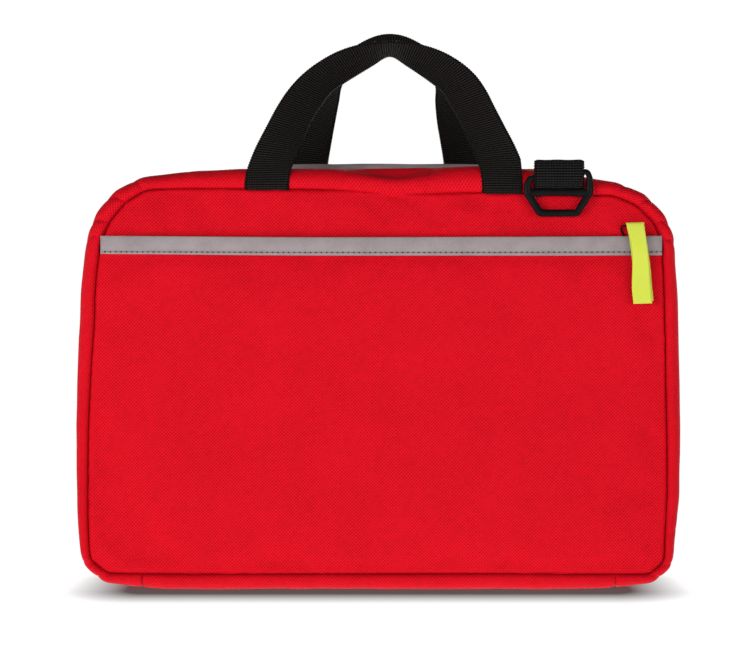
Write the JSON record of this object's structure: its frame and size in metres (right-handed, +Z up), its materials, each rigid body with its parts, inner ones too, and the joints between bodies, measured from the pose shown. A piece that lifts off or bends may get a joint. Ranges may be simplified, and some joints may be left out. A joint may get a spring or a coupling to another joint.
{
  "type": "soft first aid bag",
  "caption": "Padded clamshell bag for first aid supplies, with a zipped front pocket behind a reflective strip, two webbing carry handles, shoulder strap rings and a fitted interior",
  "frame": {"origin": "middle of the base, on the surface the bag stands on, in the plane of the main zipper", "axes": "+Z up, +X to the right seen from the front, -Y towards the front; the bag's width lies along X"},
  "size_m": [0.3334, 0.0924, 0.3129],
  "materials": {
    "red_fabric": "matte",
    "strip": "satin",
    "webbing": "matte",
    "black_plastic": "satin",
    "neon_ribbon": "satin",
    "zip_tape": "matte",
    "zip_coil": "satin",
    "slider_metal": "satin",
    "foam": "matte",
    "lining_fabric": "matte",
    "binding": "matte",
    "mesh": "matte",
    "elastic": "matte",
    "gauze": "matte",
    "tape_cloth": "matte",
    "wrap_paper": "satin",
    "wrap_blue": "satin",
    "card": "satin",
    "foil": "gloss",
    "steel": "satin"
  },
  "bodies": {
    "rear_shell": {"rear_panel": "red_fabric", "rear_gusset": "red_fabric", "rear_bottom_gusset": "red_fabric", "rear_foam_board": "foam", "rear_gusset_foam": "foam", "rear_lining": "lining_fabric", "rear_seam_binding": "binding", "main_zip_tape_rear": "zip_tape", "main_zip_coil_rear": "zip_coil", "rear_handle_ends": "webbing", "rear_ring_loop": "webbing", "top_reflective_strip": "strip", "bandage_rolls": "gauze", "elastic_loops": "elastic", "scissors_lower_half": "steel", "scissors_rivet": "steel", "scissors_strap": "elastic", "tape_roll": "tape_cloth", "tape_roll_strap": "elastic", "tweezers": "steel", "tweezers_loop": "elastic", "rear_sleeve_pocket": "lining_fabric", "sleeve_pocket_binding": "binding", "gauze_packs": "wrap_paper", "plaster_box": "card", "triangular_bandage": "wrap_paper", "wipe_sachets": "wrap_blue"},
    "front_shell": {"front_upper_panel": "red_fabric", "front_pocket_panel": "red_fabric", "pocket_back_panel": "red_fabric", "front_gusset": "red_fabric", "front_bottom_gusset": "red_fabric", "front_foam_board": "foam", "front_gusset_foam": "foam", "front_lining": "lining_fabric", "front_seam_binding": "binding", "main_zip_tape_front": "zip_tape", "main_zip_coil_front": "zip_coil", "pocket_zip_tapes": "zip_tape", "pocket_zip_coil": "zip_coil", "front_reflective_strip": "strip", "front_handle_ends": "webbing", "front_ring_loop": "webbing", "mesh_pocket": "mesh", "mesh_pocket_edging": "binding", "mesh_pocket_gusset": "lining_fabric", "glove_pack": "wrap_blue", "foil_blanket_pack": "foil"},
    "front_handle_arch": {"front_handle": "webbing"},
    "rear_handle_arch": {"rear_handle": "webbing"},
    "front_ring": {"front_d_ring": "black_plastic"},
    "rear_ring": {"rear_d_ring": "black_plastic"},
    "pocket_slider_body": {"pocket_slider": "slider_metal", "pocket_puller_cord": "webbing"},
    "pocket_tab": {"pocket_pull_tab": "neon_ribbon"},
    "main_slider_left_body": {"main_slider_left": "slider_metal"},
    "main_slider_right_body": {"main_slider_right": "slider_metal"},
    "main_pull_left_body": {"main_pull_left": "neon_ribbon"},
    "main_pull_right_body": {"main_pull_right": "neon_ribbon"},
    "scissors_half": {"scissors_upper_half": "steel"}
  },
  "joints": [
    {"name": "clamshell", "type": "hinge", "parent": "rear_shell", "child": "front_shell", "pos_m": [0, 0, 0], "axis": [1, 0, 0], "range_deg": [0, 180]},
    {"name": "front_handle_swing", "type": "hinge", "parent": "front_shell", "child": "front_handle_arch", "pos_m": [0.00395, -0.0392, 0.2219], "axis": [1, 0, 0], "range_deg": [0, 150]},
    {"name": "rear_handle_swing", "type": "hinge", "parent": "rear_shell", "child": "rear_handle_arch", "pos_m": [0.0044, 0.0392, 0.2219], "axis": [-1, 0, 0], "range_deg": [0, 140]},
    {"name": "front_ring_swing", "type": "hinge", "parent": "front_shell", "child": "front_ring", "pos_m": [0.1003, -0.0424, 0.2295], "axis": [-1, 0, 0], "range_deg": [0, 160]},
    {"name": "rear_ring_swing", "type": "hinge", "parent": "rear_shell", "child": "rear_ring", "pos_m": [-0.1003, 0.0424, 0.2269], "axis": [1, 0, 0], "range_deg": [0, 160]},
    {"name": "pocket_zip_slide", "type": "slide", "parent": "front_shell", "child": "pocket_slider_body", "axis": [-1, 0, 0], "range_m": [0, 0.275]},
    {"name": "pocket_tab_swing", "type": "hinge", "parent": "pocket_slider_body", "child": "pocket_tab", "pos_m": [0.1364, -0.0432, 0.2006], "axis": [-1, 0, 0], "range_deg": [0, 140]},
    {"name": "main_zip_slide_left", "type": "slide", "parent": "rear_shell", "child": "main_slider_left_body", "axis": [-1, 0, 0], "range_m": [0, 0.16]},
    {"name": "main_zip_slide_right", "type": "slide", "parent": "rear_shell", "child": "main_slider_right_body", "axis": [1, 0, 0], "range_m": [0, 0.035]},
    {"name": "main_pull_left_flip", "type": "hinge", "parent": "main_slider_left_body", "child": "main_pull_left_body", "pos_m": [0.0646, 0, 0.23385], "axis": [0, 1, 0], "range_deg": [0, 120]},
    {"name": "main_pull_right_flip", "type": "hinge", "parent": "main_slider_right_body", "child": "main_pull_right_body", "pos_m": [0.0754, 0, 0.23385], "axis": [0, -1, 0], "range_deg": [0, 120]},
    {"name": "scissors_open", "type": "hinge", "parent": "rear_shell", "child": "scissors_half", "pos_m": [0.004, 0.025, 0.172], "axis": [0, -1, 0], "range_deg": [0, 30]}
  ]
}
